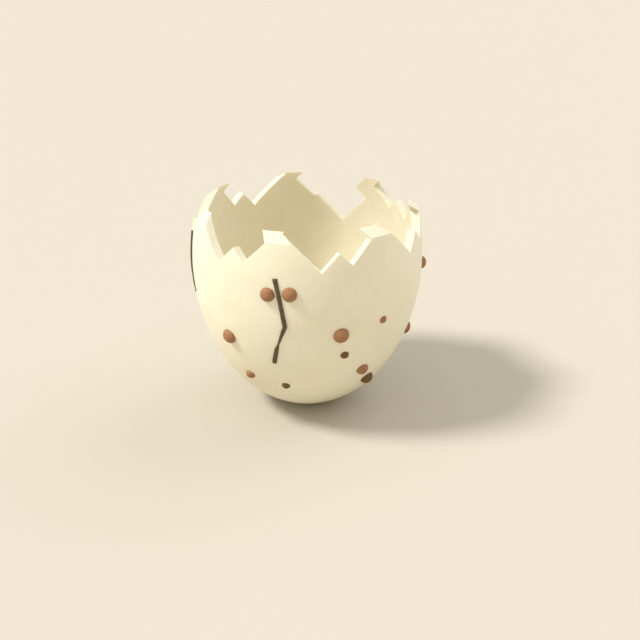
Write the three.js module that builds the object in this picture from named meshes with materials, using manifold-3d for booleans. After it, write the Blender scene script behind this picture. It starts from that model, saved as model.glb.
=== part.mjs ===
// Cracked eggshell: the lower cup of a hen's egg with a jagged broken edge, made as one solid.
// Millimetres, +Z up. The origin is the centre of the small flat spot that the shell rests on.
// Azimuth 0 faces -Y and grows towards +X. Levels are heights above the widest part of the egg.

import * as THREE from 'three';
import { mergeVertices } from 'three/addons/utils/BufferGeometryUtils.js';
import Module from 'manifold-3d';

// Egg form: half of the greatest width, and the whole egg's length over its width.
const equatorRadius = 22.25;
const lengthOverWidth = 1.385;
const poleReach = equatorRadius * lengthOverWidth;

// Wall, and the flat spot under the blunt end.
const wall = 1.6;
const floorWall = 1.6;
const restRadius = 4.5;
const equatorHeight = poleReach * Math.sqrt(1 - (restRadius / equatorRadius) ** 2);

// The brim before any piece broke out of it: a slanted fracture, lower on its outside.
const brimOuterLevel = 9.6;
const brimInnerLevel = 11.1;

// Square-cornered bites out of the brim: a deep and a shallow one side by side, seven times round.
const biteGroups = 7;
const firstBiteAzimuth = 6.4;
const deepBite = { turn: 0, level: 4.6, halfDiagonal: 6.25 };
const shallowBite = { turn: 14.6, level: 5.6, halfDiagonal: 3.9 };

// One larger piece that fell out at the back.
const wideBite = { azimuth: 158.6, level: 0.6, halfDiagonal: 5.75 };

// Dry cracks down the outside, as corners [azimuth, level, share of the full width].
const crackWidth = 0.8;
const crackDepth = 0.75;
const crackRoutes = [
  [[-14.6, 3.6, 1], [-12.5, -0.2, 0.9], [-10.4, -5.4, 1], [-14.2, -9.3, 0.45], [-15.4, -10.6, 0.95],
    [-17.6, -13.7, 1]],
  [[-76.5, 6.7, 1], [-76.5, -0.3, 0.9], [-73.5, -5, 0.5]],
  [[140, 3.2, 1], [136, -2.4, 0.9], [141, -8.6, 0.6]],
  [[-152, 0.8, 0.9], [-149, -5.2, 1], [-152.6, -8.4, 0.5], [-155, -10.6, 0.8], [-151, -14.8, 0.9]],
];

// Chalky brown lumps on the outside, as [azimuth, level, diameter, how far it stands out].
// A lump reaches into the wall by as much as it stands out, up to a share of the wall.
const buriedShare = 0.6;
const lumps = [
  [-18, 0.6, 2.6, 1],
  [-7.9, 0.9, 2.65, 1],
  [-42.5, -10, 2.85, 1.1],
  [16, -7.5, 2.9, 1.1],
  [38.7, -6.2, 1.45, 0.5],
  [19, -12.1, 1.55, 0.6],
  [32.9, -16.9, 2.4, 1],
  [42.4, -20.5, 2.6, 1.1],
  [-37.3, -18.6, 1.9, 0.75],
  [-13.8, -19.8, 1.55, 0.6],
  [85, -1, 2.35, 0.85],
  [82, -14.5, 2.6, 0.95],
  [118, -14.5, 2.7, 1.05],
  [-112, -6.5, 2.6, 1],
  [171, -6, 2.8, 1.1],
  [-128, -17.2, 1.9, 0.7],
  [158, -18.5, 1.6, 0.6],
  [-168.6, 1.4, 2.5, 0.95],
];

// How far the cutting tools stand out of the shell: the bars from the axis, the grooves from the outside.
const barReach = equatorRadius * 1.5;
const grooveProud = 0.6;

// Fineness of the facets.
const facetsRound = 72;
const outerRings = 17;
const innerRings = 15;
const lumpFacetsRound = 12;
const lumpRings = 8;
const stepsPerLeg = 3;
const weldDistance = 1e-4;

const shellColour = 0xf4e6c4;
const shellRoughness = 0.6;

const wasm = await Module();
wasm.setup();

// A closed manifold solid from any three.js geometry.
function toSolid(geometry) {
  geometry.deleteAttribute('normal');
  geometry.deleteAttribute('uv');
  const merged = mergeVertices(geometry, weldDistance);
  const index = merged.index.array;
  const triVerts = [];
  for (let i = 0; i < index.length; i += 3) {
    const [a, b, c] = [index[i], index[i + 1], index[i + 2]];
    if (a !== b && b !== c && c !== a) triVerts.push(a, b, c);
  }
  const vertProperties = merged.attributes.position.array;
  const mesh = new wasm.Mesh({ numProp: 3, vertProperties, triVerts: new Uint32Array(triVerts) });
  return new wasm.Manifold(mesh);
}

// The three.js geometry of a manifold solid, shaded flat on each facet.
function toGeometry(solid) {
  const mesh = solid.getMesh();
  const geometry = new THREE.BufferGeometry();
  geometry.setAttribute('position', new THREE.BufferAttribute(mesh.vertProperties, 3));
  geometry.setIndex(new THREE.BufferAttribute(mesh.triVerts, 1));
  geometry.computeVertexNormals();
  return geometry;
}

// Points up an egg's half outline, between two angles above the equator.
function eggArc(radius, reach, fromAngle, toAngle, steps) {
  const points = [];
  for (let i = 0; i <= steps; i++) {
    const angle = fromAngle + (toAngle - fromAngle) * i / steps;
    points.push(new THREE.Vector2(radius * Math.cos(angle), equatorHeight + reach * Math.sin(angle)));
  }
  return points;
}

// The cup before it was bitten: outside, slanted brim and inside turned about the egg's axis.
function makeCup() {
  const innerRadius = equatorRadius - wall;
  const innerReach = poleReach - floorWall;
  const restAngle = -Math.acos(restRadius / equatorRadius);
  const brimAngle = Math.asin(brimOuterLevel / poleReach);
  const innerBrimAngle = Math.asin(brimInnerLevel / innerReach);
  const outside = eggArc(equatorRadius, poleReach, restAngle, brimAngle, outerRings);
  const inside = eggArc(innerRadius, innerReach, innerBrimAngle, -Math.PI / 2, innerRings);
  inside[innerRings].x = 0;
  const profile = [new THREE.Vector2(0, 0), ...outside, ...inside];
  profile[1].y = 0;
  const geometry = new THREE.LatheGeometry(profile, facetsRound);
  geometry.rotateX(Math.PI / 2);
  return toSolid(geometry);
}

// A square bar standing on its edge and pointing straight out of the shell.
function makeBite(azimuth, level, halfDiagonal) {
  const side = halfDiagonal * Math.SQRT2;
  const bar = new THREE.BoxGeometry(side, barReach, side);
  bar.rotateY(Math.PI / 4);
  bar.translate(0, -barReach / 2, equatorHeight + level + halfDiagonal);
  bar.rotateZ(THREE.MathUtils.degToRad(azimuth));
  return toSolid(bar);
}

// A point on the outside, with its outward normal and the directions round and up the egg.
function outsideFrame(azimuth, level) {
  const turn = THREE.MathUtils.degToRad(azimuth);
  const out = new THREE.Vector3(Math.sin(turn), -Math.cos(turn), 0);
  const radius = equatorRadius * Math.sqrt(1 - (level / poleReach) ** 2);
  const point = out.clone().multiplyScalar(radius).setZ(equatorHeight + level);
  const slope = level / poleReach ** 2 * equatorRadius ** 2 / radius;
  const normal = out.clone().setZ(slope).normalize();
  const round = new THREE.Vector3(Math.cos(turn), Math.sin(turn), 0);
  const up = new THREE.Vector3().crossVectors(normal, round);
  return { point, normal, round, up };
}

// A crack's groove as a closed strip that follows the outside through the route's corners.
function makeGroove(route) {
  const stations = [];
  for (let leg = 0; leg < route.length - 1; leg++) {
    const isLast = leg === route.length - 2;
    for (let i = 0; i < stepsPerLeg + (isLast ? 1 : 0); i++) {
      const [azimuth, level, share] = route[leg].map(
        (from, k) => THREE.MathUtils.lerp(from, route[leg + 1][k], i / stepsPerLeg));
      stations.push({ ...outsideFrame(azimuth, level), halfWidth: crackWidth / 2 * share });
    }
  }
  const positions = [];
  stations.forEach(({ point, normal, halfWidth }, i) => {
    const before = stations[Math.max(i - 1, 0)].point;
    const after = stations[Math.min(i + 1, stations.length - 1)].point;
    const along = new THREE.Vector3().subVectors(after, before).normalize();
    const side = new THREE.Vector3().crossVectors(along, normal).normalize().multiplyScalar(halfWidth);
    const corners = [[-1, -crackDepth], [1, -crackDepth], [1, grooveProud], [-1, grooveProud]];
    for (const [across, height] of corners) {
      const corner = point.clone().addScaledVector(side, across).addScaledVector(normal, height);
      positions.push(...corner.toArray());
    }
  });
  const triangles = [0, 1, 2, 0, 2, 3];
  for (let i = 0; i < stations.length - 1; i++) {
    for (let k = 0; k < 4; k++) {
      const a = 4 * i + k;
      const b = 4 * i + (k + 1) % 4;
      triangles.push(a, b + 4, b, a, a + 4, b + 4);
    }
  }
  const end = 4 * (stations.length - 1);
  triangles.push(end, end + 2, end + 1, end, end + 3, end + 2);
  const geometry = new THREE.BufferGeometry();
  geometry.setAttribute('position', new THREE.Float32BufferAttribute(positions, 3));
  geometry.setIndex(triangles);
  return toSolid(geometry);
}

// A lump: a flattened ball whose widest ring lies on the outside of the shell.
function makeLump(azimuth, level, diameter, standOut) {
  const { point, normal, round, up } = outsideFrame(azimuth, level);
  const ball = new THREE.SphereGeometry(1, lumpFacetsRound, lumpRings);
  ball.rotateX(Math.PI / 2);
  const depth = Math.min(standOut, wall * buriedShare);
  const position = ball.attributes.position;
  for (let i = 0; i < position.count; i++) {
    const local = new THREE.Vector3().fromBufferAttribute(position, i);
    const height = local.z * (local.z > 0 ? standOut : depth);
    const placed = point.clone()
      .addScaledVector(round, local.x * diameter / 2)
      .addScaledVector(up, local.y * diameter / 2)
      .addScaledVector(normal, height);
    position.setXYZ(i, placed.x, placed.y, placed.z);
  }
  return toSolid(ball);
}

function makeEggshell() {
  let shell = makeCup();
  for (const lump of lumps) {
    shell = shell.add(makeLump(...lump));
  }
  for (const route of crackRoutes) {
    shell = shell.subtract(makeGroove(route));
  }
  for (let group = 0; group < biteGroups; group++) {
    const azimuth = firstBiteAzimuth + group * 360 / biteGroups;
    for (const bite of [deepBite, shallowBite]) {
      shell = shell.subtract(makeBite(azimuth + bite.turn, bite.level, bite.halfDiagonal));
    }
  }
  shell = shell.subtract(makeBite(wideBite.azimuth, wideBite.level, wideBite.halfDiagonal));
  const material = new THREE.MeshStandardMaterial({ color: shellColour, roughness: shellRoughness });
  const mesh = new THREE.Mesh(toGeometry(shell), material);
  mesh.name = 'eggshell';
  return mesh;
}

const group = new THREE.Group();
group.add(makeEggshell());

export default group;
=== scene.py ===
import math

import bpy
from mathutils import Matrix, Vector


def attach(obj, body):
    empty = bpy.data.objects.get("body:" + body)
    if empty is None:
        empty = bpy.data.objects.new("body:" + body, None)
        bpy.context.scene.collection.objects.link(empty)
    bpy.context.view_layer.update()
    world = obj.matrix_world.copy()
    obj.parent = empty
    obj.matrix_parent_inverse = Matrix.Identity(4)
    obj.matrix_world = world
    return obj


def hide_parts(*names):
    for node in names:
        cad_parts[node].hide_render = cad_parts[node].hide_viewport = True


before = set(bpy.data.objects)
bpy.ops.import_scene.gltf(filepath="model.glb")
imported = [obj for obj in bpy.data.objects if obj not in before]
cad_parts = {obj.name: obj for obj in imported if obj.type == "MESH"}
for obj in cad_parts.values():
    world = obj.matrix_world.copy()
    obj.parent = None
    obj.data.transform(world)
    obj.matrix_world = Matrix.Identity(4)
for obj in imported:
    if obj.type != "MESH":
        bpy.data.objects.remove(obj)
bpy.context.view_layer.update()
scene = bpy.context.scene
mm = 0.001

# the egg's form, in metres; levels are heights above its widest part
egg = {
    "radius": 22.25 * mm,
    "lengthOverWidth": 1.385,
    "restRadius": 4.5 * mm,
    "wall": 1.6 * mm,
    "floorWall": 1.6 * mm,
}
egg["reach"] = egg["radius"] * egg["lengthOverWidth"]
egg["centre"] = egg["reach"] * math.sqrt(1 - (egg["restRadius"] / egg["radius"]) ** 2)


# node trees, for shaders and for geometry alike

def findSocket(sockets, key):
    if isinstance(key, int):
        return sockets[key]
    return next(s for s in sockets if s.enabled and key in (s.name, s.identifier))


# an output socket; arithmetic on it adds Math nodes to its tree
class Wire:
    def __init__(self, graph, output):
        self.graph = graph
        self.output = output

    def part(self, key):
        return Wire(self.graph, findSocket(self.output.node.outputs, key))

    def calc(self, operation, *values):
        return self.graph.add("ShaderNodeMath", {"operation": operation}, dict(enumerate(values)))

    def __add__(self, other):
        return self.calc("ADD", self, other)

    def __radd__(self, other):
        return self.calc("ADD", other, self)

    def __sub__(self, other):
        return self.calc("SUBTRACT", self, other)

    def __rsub__(self, other):
        return self.calc("SUBTRACT", other, self)

    def __mul__(self, other):
        return self.calc("MULTIPLY", self, other)

    def __rmul__(self, other):
        return self.calc("MULTIPLY", other, self)

    def __truediv__(self, other):
        return self.calc("DIVIDE", self, other)

    def sin(self):
        return self.calc("SINE", self)

    def cos(self):
        return self.calc("COSINE", self)

    def asin(self):
        return self.calc("ARCSINE", self)

    def acos(self):
        return self.calc("ARCCOSINE", self)

    def sqrt(self):
        return self.calc("SQRT", self)

    def ceil(self):
        return self.calc("CEIL", self)

    def isOver(self, limit):
        return self.calc("GREATER_THAN", self, limit)

    def isUnder(self, limit):
        return self.calc("LESS_THAN", self, limit)

    def equals(self, number, tolerance=0.1):
        return self.calc("COMPARE", self, number, tolerance)


class Graph:
    def __init__(self, tree):
        self.tree = tree

    # one node: its settings first, then the values or wires of its inputs
    def add(self, kind, settings=None, inputs=None):
        node = self.tree.nodes.new(kind)
        for name, value in (settings or {}).items():
            setattr(node, name, value)
        for key, value in (inputs or {}).items():
            socket = findSocket(node.inputs, key)
            for item in value if isinstance(value, list) else [value]:
                if isinstance(item, Wire):
                    self.tree.links.new(item.output, socket)
                else:
                    socket.default_value = item
        outputs = [s for s in node.outputs if s.enabled]
        return Wire(self, outputs[0]) if outputs else None

    def vector(self, operation, *values):
        return self.add("ShaderNodeVectorMath", {"operation": operation}, dict(enumerate(values)))

    def scaled(self, vector, factor):
        return self.add("ShaderNodeVectorMath", {"operation": "SCALE"}, {"Vector": vector, "Scale": factor})

    def combine(self, x, y, z):
        return self.add("ShaderNodeCombineXYZ", {}, {0: x, 1: y, 2: z})

    def split(self, vector):
        parts = self.add("ShaderNodeSeparateXYZ", {}, {0: vector})
        return parts.part("X"), parts.part("Y"), parts.part("Z")


# a geometry tree that has an input for each of the values: a float, an int or a material
def geometryGraph(name, values):
    kinds = {float: "NodeSocketFloat", int: "NodeSocketInt", bpy.types.Material: "NodeSocketMaterial"}
    tree = bpy.data.node_groups.new(name, "GeometryNodeTree")
    tree.is_modifier = True
    tree.interface.new_socket("Geometry", in_out="INPUT", socket_type="NodeSocketGeometry")
    for label, value in values.items():
        tree.interface.new_socket(label, in_out="INPUT", socket_type=kinds[type(value)])
    tree.interface.new_socket("Geometry", in_out="OUTPUT", socket_type="NodeSocketGeometry")
    graph = Graph(tree)
    graph.given = graph.add("NodeGroupInput")
    graph.values = values
    return graph


# runs a geometry tree on a base mesh and keeps only the plain mesh that comes out
def growPiece(name, base, graph, geometry):
    output = graph.tree.nodes.new("NodeGroupOutput")
    graph.tree.links.new(geometry.output, output.inputs["Geometry"])
    piece = bpy.data.objects.new(name, base)
    scene.collection.objects.link(piece)
    modifier = piece.modifiers.new("grow", "NODES")
    modifier.node_group = graph.tree
    for item in graph.tree.interface.items_tree:
        if item.name in graph.values:
            modifier[item.identifier] = graph.values[item.name]
    seen = bpy.context.evaluated_depsgraph_get()
    plain = bpy.data.meshes.new_from_object(piece.evaluated_get(seen), depsgraph=seen)
    piece.modifiers.remove(modifier)
    piece.data = plain
    plain.name = name
    if plain.materials[0] is None:  # the slot that the bare base mesh brought
        plain.materials.pop(index=0)
    print(name, "has", sum(len(p.vertices) - 2 for p in plain.polygons), "triangles")
    return piece


# colours are given as they look on a screen, 0 to 1, and worked in linear light
def tint(red, green, blue):
    linear = [((c + 0.055) / 1.055) ** 2.4 if c > 0.04045 else c / 12.92 for c in (red, green, blue)]
    return (*linear, 1)


def newMaterial(name):
    material = bpy.data.materials.new(name)
    material.use_nodes = True
    material.node_tree.nodes.clear()
    graph = Graph(material.node_tree)
    graph.place = graph.add("ShaderNodeTexCoord").part("Object")
    return material, graph


def finishMaterial(graph, inputs):
    shader = graph.add("ShaderNodeBsdfPrincipled", {}, inputs)
    graph.add("ShaderNodeOutputMaterial", {}, {"Surface": shader})


# noise from 0 to 1 whose grains are about the given size in metres
def grain(graph, size, detail, roughness=0.55):
    inputs = {"Vector": graph.place, "Scale": 1 / size, "Detail": detail, "Roughness": roughness}
    return graph.add("ShaderNodeTexNoise", {}, inputs)


# noise pushed away from its middle value, so that both ends of a blend show
def spread(noise, factor):
    return noise * factor - (factor - 1) / 2


def blend(graph, factor, first, second):
    inputs = {"Factor_Float": factor, "A_Color": first, "B_Color": second}
    return graph.add("ShaderNodeMix", {"data_type": "RGBA"}, inputs)


def relief(graph, height, depth, below=None):
    inputs = {"Height": height, "Distance": depth}
    if below:
        inputs["Normal"] = below
    return graph.add("ShaderNodeBump", {}, inputs)


# finishes

def makeOutsideFinish():
    look = {
        "cream": tint(0.935, 0.915, 0.83),
        "warm": tint(0.915, 0.888, 0.785),
        "pore": tint(0.80, 0.70, 0.52),
        "poreStrength": 0.35,
        "cloudSize": 9 * mm,
        "cloudDepth": 0.25 * mm,
        "fineSize": 0.8 * mm,
        "fineDepth": 0.035 * mm,
        "poreSpacing": 0.9 * mm,
        "poreEdge": (0.05, 0.16),  # where a pore begins to fade and where it has gone
        "poreDepth": 0.03 * mm,
    }
    material, graph = newMaterial("shellOutside")
    clouds = grain(graph, look["cloudSize"], detail=3)
    fine = grain(graph, look["fineSize"], detail=4)
    fromPore = graph.add("ShaderNodeTexVoronoi", {}, {
        "Vector": graph.place, "Scale": 1 / look["poreSpacing"],
    })
    begins, ends = look["poreEdge"]
    pore = graph.add("ShaderNodeMapRange", {}, {
        "Value": fromPore, "From Min": begins, "From Max": ends, "To Min": 1, "To Max": 0,
    })
    colour = blend(graph, spread(clouds, 1.6), look["cream"], look["warm"])
    swell = relief(graph, clouds, look["cloudDepth"])
    bumps = relief(graph, fine, look["fineDepth"], swell)
    finishMaterial(graph, {
        "Base Color": blend(graph, pore * look["poreStrength"], colour, look["pore"]),
        "Roughness": 0.46 + fine * 0.16,
        "Normal": relief(graph, 1 - pore, look["poreDepth"], bumps),
        "Subsurface Weight": 0.12,
        "Subsurface Radius": (1.0, 0.75, 0.5),
        "Subsurface Scale": 1.2 * mm,
        "Specular IOR Level": 0.35,
    })
    return material


def makeInsideFinish():
    look = {
        "skin": tint(0.909, 0.886, 0.798),
        "thick": tint(0.888, 0.857, 0.757),
        "cloudSize": 6 * mm,
        "cloudDepth": 0.3 * mm,
        "fibreSize": 0.5 * mm,
        "fibreDepth": 0.05 * mm,
    }
    material, graph = newMaterial("shellInside")
    clouds = grain(graph, look["cloudSize"], detail=4)
    fibres = grain(graph, look["fibreSize"], detail=5, roughness=0.65)
    swell = relief(graph, clouds, look["cloudDepth"])
    finishMaterial(graph, {
        "Base Color": blend(graph, spread(clouds, 1.8), look["skin"], look["thick"]),
        "Roughness": 0.40 + fibres * 0.2,
        "Normal": relief(graph, fibres, look["fibreDepth"], swell),
        "Subsurface Weight": 0.12,
        "Subsurface Radius": (1.0, 0.7, 0.45),
        "Subsurface Scale": 1.2 * mm,
        "Specular IOR Level": 0.35,
    })
    return material


def makeEdgeFinish():
    look = {
        "chalk": tint(0.905, 0.888, 0.80),
        "shade": tint(0.868, 0.846, 0.75),
        "crumbSize": 0.35 * mm,
        "crumbDepth": 0.08 * mm,
    }
    material, graph = newMaterial("brokenEdge")
    crumbs = grain(graph, look["crumbSize"], detail=5, roughness=0.7)
    finishMaterial(graph, {
        "Base Color": blend(graph, spread(crumbs, 1.4), look["shade"], look["chalk"]),
        "Roughness": 0.85,
        "Normal": relief(graph, crumbs, look["crumbDepth"]),
        "Subsurface Weight": 0.15,
        "Subsurface Radius": (1.0, 0.8, 0.55),
        "Subsurface Scale": 0.8 * mm,
        "Specular IOR Level": 0.2,
    })
    return material


# the crack finish: a dark colour that is painted shade of the fissure, mottled by noise
def makeCrackFinish():
    look = {
        "deep": tint(0.31, 0.26, 0.185),
        "paleCrackShade": tint(0.45, 0.385, 0.285),
        "crackShadeGrainSize": 0.5 * mm,
        "crackShadeBumpDepth": 0.08 * mm,
    }
    material, graph = newMaterial("crackPaintedShade")
    crackShade = grain(graph, look["crackShadeGrainSize"], detail=4)
    finishMaterial(graph, {
        "Base Color": blend(graph, spread(crackShade, 1.5), look["deep"], look["paleCrackShade"]),
        "Roughness": 0.9,
        "Normal": relief(graph, crackShade, look["crackShadeBumpDepth"]),
        "Specular IOR Level": 0.1,
    })
    return material


def makeLumpFinish():
    look = {
        "brown": tint(0.66, 0.492, 0.35),
        "brownShade": tint(0.57, 0.406, 0.28),
        "dark": tint(0.475, 0.372, 0.225),
        "darkShade": tint(0.385, 0.288, 0.165),
        "patchSize": 0.7 * mm,
        "gritSize": 0.22 * mm,
        "gritDepth": 0.05 * mm,
    }
    material, graph = newMaterial("brownLump")
    patches = spread(grain(graph, look["patchSize"], detail=4, roughness=0.6), 1.6)
    grit = grain(graph, look["gritSize"], detail=3)
    tone = graph.add("ShaderNodeAttribute", {"attribute_name": "tone"}).part("Fac")
    light = blend(graph, patches, look["brownShade"], look["brown"])
    dark = blend(graph, patches, look["darkShade"], look["dark"])
    finishMaterial(graph, {
        "Base Color": blend(graph, tone, light, dark),
        "Roughness": 0.62 + grit * 0.2,
        "Normal": relief(graph, grit, look["gritDepth"]),
        "Specular IOR Level": 0.3,
    })
    return material


def makeFloorFinish():
    material, graph = newMaterial("paleFloor")
    finishMaterial(graph, {
        "Base Color": tint(0.753, 0.729, 0.675),
        "Roughness": 0.9,
        "Specular IOR Level": 0.1,
    })
    return material


# the egg's outside at an azimuth and a level, as a place and an outward direction
def onEgg(graph, azimuth, level):
    given = graph.given
    centre = given.part("Centre")
    radius = given.part("Radius")
    reach = given.part("Reach")
    share = level / reach
    away = radius * (1 - share * share).sqrt()
    place = graph.combine(away * azimuth.sin(), away * azimuth.cos() * -1, centre + level)
    slope = share * radius / reach
    lean = (1 - share * share).sqrt()
    out = graph.combine(lean * azimuth.sin(), lean * azimuth.cos() * -1, slope)
    return place, graph.vector("NORMALIZE", out)


# the cup with its bites and cracks

# the brim's levels before any piece broke out of it: it slants down to the outside
brim = {"outside": 9.6 * mm, "inside": 11.1 * mm}

# how the cup departs from the plain form, and how finely it is meshed
surface = {
    "ripple": 0.10 * mm,
    "rippleSize": 7 * mm,
    "restHeight": 0.3 * mm,  # below this the cup stays flat to rest on
    "columns": 321,
    "outerRows": 120,
    "innerRows": 80,
    "brimRows": 10,
    "restRows": 8,
    "weld": 0.002 * mm,
    "sharpFold": 40,  # degrees
}

# square-cornered bites out of the brim, made by square bars that stand on an edge
bites = {
    "from": 0.79,  # where the bars begin and end, as shares of the egg's radius
    "to": 1.06,
    "fineness": 0.16 * mm,
    "chipping": 0.16 * mm,
    "chipSize": 1.6 * mm,
    "crumbSize": 0.45 * mm,
    # how many round the egg, the first one's azimuth, the level of the lowest corner and half the diagonal
    "kinds": {
        "Deep Bite": {"count": 7, "azimuth": 6.4, "level": 4.6, "half": 6.25},
        "Shallow Bite": {"count": 7, "azimuth": 21.0, "level": 5.6, "half": 3.9},
        "Wide Bite": {"count": 1, "azimuth": 158.6, "level": 0.6, "half": 5.75},
    },
}

# the cracks are grooves whose cut faces take the dark crack finish, which is painted shade, and a dark
# strip of painted shade is laid in each groove, a little proud of the shell
cracks = {
    "width": 0.8 * mm,
    "depth": 0.75 * mm,
    "shadeStripAbove": 0.3 * mm,
    "shadeStripBelow": 0.45 * mm,
    "shadeStripRounding": 0.18 * mm,
    "shadeStripGrit": 0.12 * mm,
    "shadeStripLumpSize": 0.9 * mm,
    "shadeStripGritSize": 0.3 * mm,
    "shadeStripFold": 50,  # degrees
    "shadeStripStep": 0.12 * mm,
    "step": 0.2 * mm,
    # the corners of each crack: azimuth in degrees, level in millimetres, share of the full width
    "routes": [
        [(-14.6, 3.6, 1), (-12.5, -0.2, 0.9), (-10.4, -5.4, 1), (-14.2, -9.3, 0.45), (-15.4, -10.6, 0.95),
         (-17.6, -13.7, 1)],
        [(-76.5, 6.7, 1), (-76.5, -0.3, 0.9), (-73.5, -5, 0.5)],
        [(140, 3.2, 1), (136, -2.4, 0.9), (141, -8.6, 0.6)],
        [(-152, 0.8, 0.9), (-149, -5.2, 1), (-152.6, -8.4, 0.5), (-155, -10.6, 0.8), (-151, -14.8, 0.9)],
    ],
}


def named(graph, name, kind="FLOAT"):
    return graph.add("GeometryNodeInputNamedAttribute", {"data_type": kind}, {"Name": name})


# which finish a face gets is kept as a number on it through the cutting
finishes = ["Outside", "Inside", "Edge", "Crack"]


def marked(graph, geometry, finish):
    return graph.add("GeometryNodeStoreNamedAttribute", {"data_type": "INT", "domain": "FACE"}, {
        "Geometry": geometry, "Name": "finish", "Value": finishes.index(finish),
    })


def finished(graph, geometry):
    number = named(graph, "finish", "INT")
    geometry = graph.add("GeometryNodeRealizeInstances", {}, {"Geometry": geometry})
    for place, label in enumerate(finishes):
        geometry = graph.add("GeometryNodeSetMaterial", {}, {
            "Geometry": geometry, "Selection": number.equals(place), "Material": graph.given.part(label),
        })
    return geometry


# one band of the cup, turned about the egg's axis; profile gives radius and height for t from 0 to 1
def turnedBand(graph, columns, rows, profile, finish):
    grid = graph.add("GeometryNodeMeshGrid", {}, {
        "Size X": 1.0, "Size Y": 1.0, "Vertices X": columns, "Vertices Y": rows,
    })
    x, y, _ = graph.split(graph.add("GeometryNodeInputPosition"))
    turn = (x + 0.5) * math.tau
    radius, height = profile(y + 0.5)
    place = graph.combine(radius * turn.sin(), radius * turn.cos() * -1, height)
    band = graph.add("GeometryNodeSetPosition", {}, {"Geometry": grid, "Position": place})
    return marked(graph, band, finish)


def between(low, high, t):
    return low + (high - low) * t


# moves every point of a geometry by noise, at most about half of the amount each way
def roughened(graph, geometry, size, amount, selection=None):
    here = graph.add("GeometryNodeInputPosition")
    noise = graph.add("ShaderNodeTexNoise", {}, {"Vector": here, "Scale": 1 / size, "Detail": 3.0})
    shift = graph.vector("SUBTRACT", noise.part("Color"), (0.5, 0.5, 0.5))
    inputs = {"Geometry": geometry, "Offset": graph.scaled(shift, amount)}
    if selection:
        inputs["Selection"] = selection
    return graph.add("GeometryNodeSetPosition", {}, inputs)


# coarse wear, and finer wear of half the amount on top of it
def worn(graph, geometry, coarse, fine, amount):
    geometry = roughened(graph, geometry, coarse, amount)
    return roughened(graph, geometry, fine, amount * 0.5)


# one kind's bars, evenly spaced round the egg and pointing straight out of it
def biteBars(graph, name, count):
    given = graph.given
    half = given.part(name + " Half Diagonal")
    side = half * math.sqrt(2)
    low = given.part("Radius") * bites["from"]
    high = given.part("Radius") * bites["to"]
    across = (side / bites["fineness"]).ceil()
    bar = graph.add("GeometryNodeMeshCube", {}, {
        "Size": graph.combine(side, high - low, side),
        "Vertices X": across,
        "Vertices Y": ((high - low) / bites["fineness"]).ceil(),
        "Vertices Z": across,
    })
    lift = given.part("Centre") + given.part(name + " Level") + half
    bar = graph.add("GeometryNodeTransform", {}, {
        "Geometry": bar,
        "Rotation": (0, math.pi / 4, 0),
        "Translation": graph.combine(0, (high + low) * -0.5, lift),
    })
    places = graph.add("GeometryNodePoints", {}, {"Count": count, "Position": (0, 0, 0)})
    turn = given.part(name + " Turn") + graph.add("GeometryNodeInputIndex") * (math.tau / count)
    bars = graph.add("GeometryNodeInstanceOnPoints", {}, {
        "Points": places,
        "Instance": bar,
        "Rotation": graph.add("FunctionNodeEulerToRotation", {}, {0: graph.combine(0, 0, turn)}),
    })
    bars = graph.add("GeometryNodeRealizeInstances", {}, {"Geometry": bars})
    bars = worn(graph, bars, bites["chipSize"], bites["crumbSize"], given.part("Chipping"))
    return marked(graph, bars, "Edge")


# a curve with its points a given length apart
def stepped(graph, curve, length):
    return graph.add("GeometryNodeResampleCurve", {"mode": "LENGTH"}, {"Curve": curve, "Length": length})


# the crack routes as curves on the outside, with the curve's normal pointing out of the shell
def crackLines(graph):
    given = graph.given
    line = graph.add("GeometryNodeMeshToCurve", {}, {"Mesh": given.part("Geometry")})
    line = stepped(graph, line, cracks["step"])
    x, y, _ = graph.split(graph.add("GeometryNodeInputPosition"))
    place, _ = onEgg(graph, x / given.part("Radius"), y)
    line = graph.add("GeometryNodeSetPosition", {}, {"Geometry": line, "Position": place})
    x, y, z = graph.split(graph.add("GeometryNodeInputPosition"))
    ratio = given.part("Radius") / given.part("Reach")
    out = graph.vector("NORMALIZE", graph.combine(x, y, (z - given.part("Centre")) * ratio * ratio))
    return graph.add("GeometryNodeSetCurveNormal", {"mode": "FREE"}, {"Curve": line, "Normal": out})


# a closed strip of the given section along each crack, narrowed by the routes' shares
def alongCracks(graph, section):
    return graph.add("GeometryNodeCurveToMesh", {}, {
        "Curve": crackLines(graph),
        "Profile Curve": section,
        "Scale": named(graph, "share"),
        "Fill Caps": True,
    })


# the strips that cut the cracks, half in the shell and half out of it; the faces they cut keep the crack
# finish, so the groove walls carry painted shade
def crackCutters(graph):
    given = graph.given
    section = graph.add("GeometryNodeCurvePrimitiveQuadrilateral", {}, {
        "Width": given.part("Crack Depth") * 2, "Height": given.part("Crack Width"),
    })
    return marked(graph, alongCracks(graph, section), "Crack")


def bite(graph, geometry, cutters):
    return graph.add("GeometryNodeMeshBoolean", {"operation": "DIFFERENCE", "solver": "MANIFOLD"}, {
        "Mesh 1": geometry, "Mesh 2": cutters,
    })


# smooth shading, with the edges that fold by more than the angle kept sharp
def smoothedTo(graph, geometry, degrees):
    geometry = graph.add("GeometryNodeSetShadeSmooth", {"domain": "FACE"}, {"Geometry": geometry})
    smooth = graph.add("GeometryNodeInputMeshEdgeAngle").isUnder(math.radians(degrees))
    return graph.add("GeometryNodeSetShadeSmooth", {"domain": "EDGE"}, {
        "Geometry": geometry, "Shade Smooth": smooth,
    })


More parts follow.
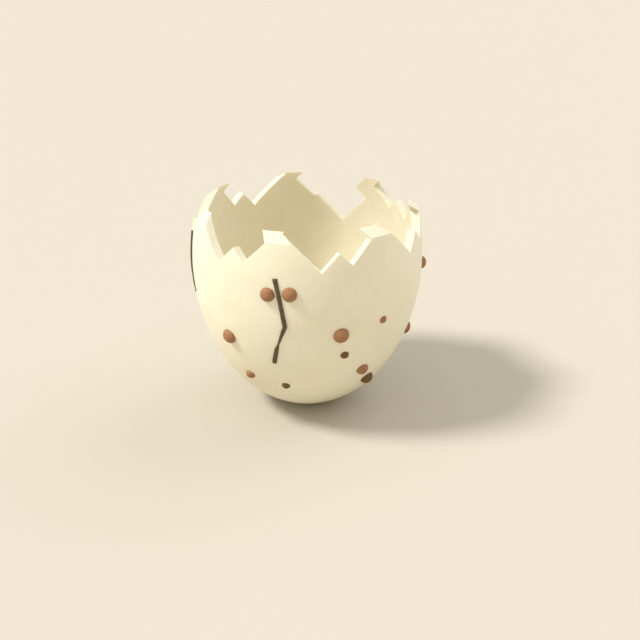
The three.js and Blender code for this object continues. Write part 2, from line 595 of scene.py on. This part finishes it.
def shellGeometry(graph):
    given = graph.given
    radius, reach, centre = (given.part(n) for n in ("Radius", "Reach", "Centre"))
    innerRadius = radius - given.part("Wall")
    innerReach = reach - given.part("Floor Wall")
    restAngle = (given.part("Rest Radius") / radius).acos() * -1
    brimAngle = (given.part("Brim Outside") / reach).asin()
    innerAngle = (given.part("Brim Inside") / innerReach).asin()
    columns = given.part("Columns")

    def outer(t):
        angle = between(restAngle, brimAngle, t)
        return radius * angle.cos(), centre + reach * angle.sin()

    def inner(t):
        angle = between(innerAngle, -math.pi / 2, t)
        return innerRadius * angle.cos(), centre + innerReach * angle.sin()

    def slanted(t):
        outerRadius, outerHeight = outer(1)
        inRadius, inHeight = inner(0)
        return between(outerRadius, inRadius, t), between(outerHeight, inHeight, t)

    def resting(t):
        outerRadius, _ = outer(0)
        return between(0, outerRadius, t), t * 0

    bands = [
        turnedBand(graph, columns, given.part("Outer Rows"), outer, "Outside"),
        turnedBand(graph, columns, given.part("Inner Rows"), inner, "Inside"),
        turnedBand(graph, columns, given.part("Brim Rows"), slanted, "Edge"),
        turnedBand(graph, columns, surface["restRows"], resting, "Outside"),
    ]
    cup = graph.add("GeometryNodeJoinGeometry", {}, {"Geometry": bands})
    cup = graph.add("GeometryNodeMergeByDistance", {}, {"Geometry": cup, "Distance": surface["weld"]})
    height = graph.split(graph.add("GeometryNodeInputPosition"))[2]
    raised = height.isOver(surface["restHeight"])
    cup = roughened(graph, cup, surface["rippleSize"], given.part("Ripple"), raised)
    cup = bite(graph, cup, crackCutters(graph))
    for name, kind in bites["kinds"].items():
        cup = bite(graph, cup, biteBars(graph, name, kind["count"]))
    return finished(graph, smoothedTo(graph, cup, surface["sharpFold"]))


# the crack routes laid out flat: x is the way round at the widest part, y is the level
def routeMesh():
    points = []
    edges = []
    shares = []
    for route in cracks["routes"]:
        start = len(points)
        points += [(math.radians(azimuth) * egg["radius"], level * mm, 0) for azimuth, level, _ in route]
        edges += [(i, i + 1) for i in range(start, len(points) - 1)]
        shares += [float(share) for _, _, share in route]
    mesh = bpy.data.meshes.new("crackRoutes")
    mesh.from_pydata(points, edges, [])
    mesh.attributes.new("share", "FLOAT", "POINT").data.foreach_set("value", shares)
    return mesh


def eggValues():
    return {
        "Radius": egg["radius"],
        "Reach": egg["reach"],
        "Centre": egg["centre"],
    }


def makeShell():
    values = {
        **eggValues(),
        "Rest Radius": egg["restRadius"],
        "Wall": egg["wall"],
        "Floor Wall": egg["floorWall"],
        "Brim Outside": brim["outside"],
        "Brim Inside": brim["inside"],
        "Ripple": surface["ripple"],
        "Chipping": bites["chipping"],
        "Crack Width": cracks["width"],
        "Crack Depth": cracks["depth"],
        "Columns": surface["columns"],
        "Outer Rows": surface["outerRows"],
        "Inner Rows": surface["innerRows"],
        "Brim Rows": surface["brimRows"],
        "Outside": makeOutsideFinish(),
        "Inside": makeInsideFinish(),
        "Edge": makeEdgeFinish(),
        "Crack": makeCrackFinish(),
    }
    for name, kind in bites["kinds"].items():
        values[name + " Turn"] = math.radians(kind["azimuth"])
        values[name + " Level"] = kind["level"] * mm
        values[name + " Half Diagonal"] = kind["half"] * mm
    graph = geometryGraph("eggCup", values)
    shell = growPiece("shell", routeMesh(), graph, shellGeometry(graph))
    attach(shell, "root")
    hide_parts("eggshell")


# a dark strip of painted shade laid along the cracks, standing a little proud of the shell
def makeCrackShadeStrip():
    graph = geometryGraph("crackPaintedShade", {
        **eggValues(),
        "Width": cracks["width"],
        "Above": cracks["shadeStripAbove"],
        "Below": cracks["shadeStripBelow"],
        "Rounding": cracks["shadeStripRounding"],
        "Grit": cracks["shadeStripGrit"],
        "Finish": bpy.data.materials["crackPaintedShade"],
    })
    given = graph.given
    above = given.part("Above")
    below = given.part("Below")
    section = graph.add("GeometryNodeCurvePrimitiveQuadrilateral", {}, {
        "Width": above + below, "Height": given.part("Width"),
    })
    section = graph.add("GeometryNodeFilletCurve", {"mode": "POLY"}, {
        "Curve": section, "Count": 4, "Radius": given.part("Rounding"),
    })
    section = stepped(graph, section, cracks["shadeStripStep"])
    section = graph.add("GeometryNodeTransform", {}, {
        "Geometry": section, "Translation": graph.combine((above - below) * 0.5, 0, 0),
    })
    strip = alongCracks(graph, section)
    strip = worn(graph, strip, cracks["shadeStripLumpSize"], cracks["shadeStripGritSize"], given.part("Grit"))
    strip = graph.add("GeometryNodeRealizeInstances", {}, {"Geometry": strip})
    strip = smoothedTo(graph, strip, cracks["shadeStripFold"])
    strip = graph.add("GeometryNodeSetMaterial", {}, {"Geometry": strip, "Material": given.part("Finish")})
    crackShade = growPiece("crackPaintedShade", routeMesh(), graph, strip)
    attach(crackShade, "root")


lumps = {
    "grit": 0.12 * mm,
    "gritSize": 1.1 * mm,
    "fineness": 5,
    # azimuth in degrees, level, diameter and stand-out in millimetres, darkness from 0 to 1
    "places": [
        (-18, 0.6, 2.6, 1, 0),
        (-7.9, 0.9, 2.65, 1, 0),
        (-42.5, -10, 2.85, 1.1, 0),
        (16, -7.5, 2.9, 1.1, 0),
        (38.7, -6.2, 1.45, 0.5, 0),
        (19, -12.1, 1.55, 0.6, 1),
        (32.9, -16.9, 2.4, 1, 0),
        (42.4, -20.5, 2.6, 1.1, 1),
        (-37.3, -18.6, 1.9, 0.75, 0),
        (-13.8, -19.8, 1.55, 0.6, 1),
        (85, -1, 2.35, 0.85, 0),
        # this lump's darkness of 0.25 is painted shade
        (82, -14.5, 2.6, 0.95, 0.25),
        (118, -14.5, 2.7, 1.05, 0),
        (-112, -6.5, 2.6, 1, 0),
        (171, -6, 2.8, 1.1, 0),
        (-128, -17.2, 1.9, 0.7, 1),
        (158, -18.5, 1.6, 0.6, 1),
        (-168.6, 1.4, 2.5, 0.95, 0),
    ],
}


def lumpMesh():
    mesh = bpy.data.meshes.new("lumpPlaces")
    places = lumps["places"]
    mesh.from_pydata([(math.radians(p[0]) * egg["radius"], p[1] * mm, 0) for p in places], [], [])
    for name, values in (
        ("across", [p[2] / 2 * mm for p in places]),
        ("standOut", [p[3] * mm for p in places]),
        ("tone", [float(p[4]) for p in places]),
    ):
        mesh.attributes.new(name, "FLOAT", "POINT").data.foreach_set("value", values)
    return mesh


def makeLumps():
    graph = geometryGraph("shellLumps", {**eggValues(), "Grit": lumps["grit"], "Finish": makeLumpFinish()})
    given = graph.given
    x, y, _ = graph.split(graph.add("GeometryNodeInputPosition"))
    place, out = onEgg(graph, x / given.part("Radius"), y)
    across = named(graph, "across")
    facing = graph.add("FunctionNodeAlignRotationToVector", {"axis": "Z"}, {"Vector": out})
    ball = graph.add("GeometryNodeMeshIcoSphere", {}, {"Radius": 1.0, "Subdivisions": lumps["fineness"]})
    balls = graph.add("GeometryNodeInstanceOnPoints", {}, {
        "Points": given.part("Geometry"),
        "Instance": ball,
        "Rotation": facing,
        "Scale": graph.combine(across, across, named(graph, "standOut")),
    })
    moved = graph.add("GeometryNodeSetPosition", {}, {"Geometry": balls, "Position": place})
    whole = graph.add("GeometryNodeRealizeInstances", {}, {"Geometry": moved})
    whole = roughened(graph, whole, lumps["gritSize"], given.part("Grit"))
    whole = graph.add("GeometryNodeSetShadeSmooth", {}, {"Geometry": whole, "Shade Smooth": True})
    whole = graph.add("GeometryNodeSetMaterial", {}, {"Geometry": whole, "Material": given.part("Finish")})
    piece = growPiece("lumps", lumpMesh(), graph, whole)
    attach(piece, "root")


# stage, light and camera

def makeFloor():
    half = 1500 * mm
    corners = [(-half, -half, 0), (half, -half, 0), (half, half, 0), (-half, half, 0)]
    mesh = bpy.data.meshes.new("floor")
    mesh.from_pydata(corners, [], [(0, 1, 2, 3)])
    mesh.materials.append(makeFloorFinish())
    floor = bpy.data.objects.new("floor", mesh)
    scene.collection.objects.link(floor)


def makeLight():
    lamps = {
        "key": {
            "from": (-0.63, -0.10, 0.77),
            "strength": 3.0,
            "colour": (1.0, 0.995, 0.98),
            "softness": 14,
        },
        "fill": {
            "from": (0.63, 0.39, 0.67),
            "strength": 0.9,
            "colour": (0.78, 0.88, 1.0),
            "softness": 50,
        },
    }
    for name, lamp in lamps.items():
        data = bpy.data.lights.new(name, "SUN")
        data.energy = lamp["strength"]
        data.color = lamp["colour"]
        data.angle = math.radians(lamp["softness"])
        sun = bpy.data.objects.new(name, data)
        sun.rotation_euler = Vector(lamp["from"]).to_track_quat("Z", "Y").to_euler()
        scene.collection.objects.link(sun)


# the room lights the shell, and the camera sees its wall in the floor's lit colour
def makeRoom():
    room = {
        "light": (1.0, 0.93, 0.84, 1),
        "strength": 0.8,
        "wall": tint(0.961, 0.924, 0.847),
    }
    world = bpy.data.worlds.new("room")
    world.use_nodes = True
    world.node_tree.nodes.clear()
    graph = Graph(world.node_tree)
    light = graph.add("ShaderNodeBackground", {}, {"Color": room["light"], "Strength": room["strength"]})
    wall = graph.add("ShaderNodeBackground", {}, {"Color": room["wall"], "Strength": 1.0})
    seen = graph.add("ShaderNodeLightPath").part("Is Camera Ray")
    mixed = graph.add("ShaderNodeMixShader", {}, {0: seen, 1: light, 2: wall})
    graph.add("ShaderNodeOutputWorld", {}, {"Surface": mixed})
    scene.world = world
    scene.view_settings.view_transform = "Standard"


def makeCamera():
    view = {
        "back": 7.2876 * egg["radius"],
        "up": 2.7420 * egg["radius"],
        "down": math.radians(24.85),
        "turn": math.radians(0.889),
        "lens": 50,
        "sensor": 36,
    }
    data = bpy.data.cameras.new("camera")
    data.lens = view["lens"]
    data.sensor_width = view["sensor"]
    data.clip_start = 0.01
    camera = bpy.data.objects.new("camera", data)
    camera.location = (0, -view["back"], egg["centre"] + view["up"])
    camera.rotation_euler = (math.pi / 2 - view["down"], 0, -view["turn"])
    scene.collection.objects.link(camera)
    scene.camera = camera


makeShell()
makeCrackShadeStrip()
makeLumps()
makeFloor()
makeLight()
makeRoom()
makeCamera()
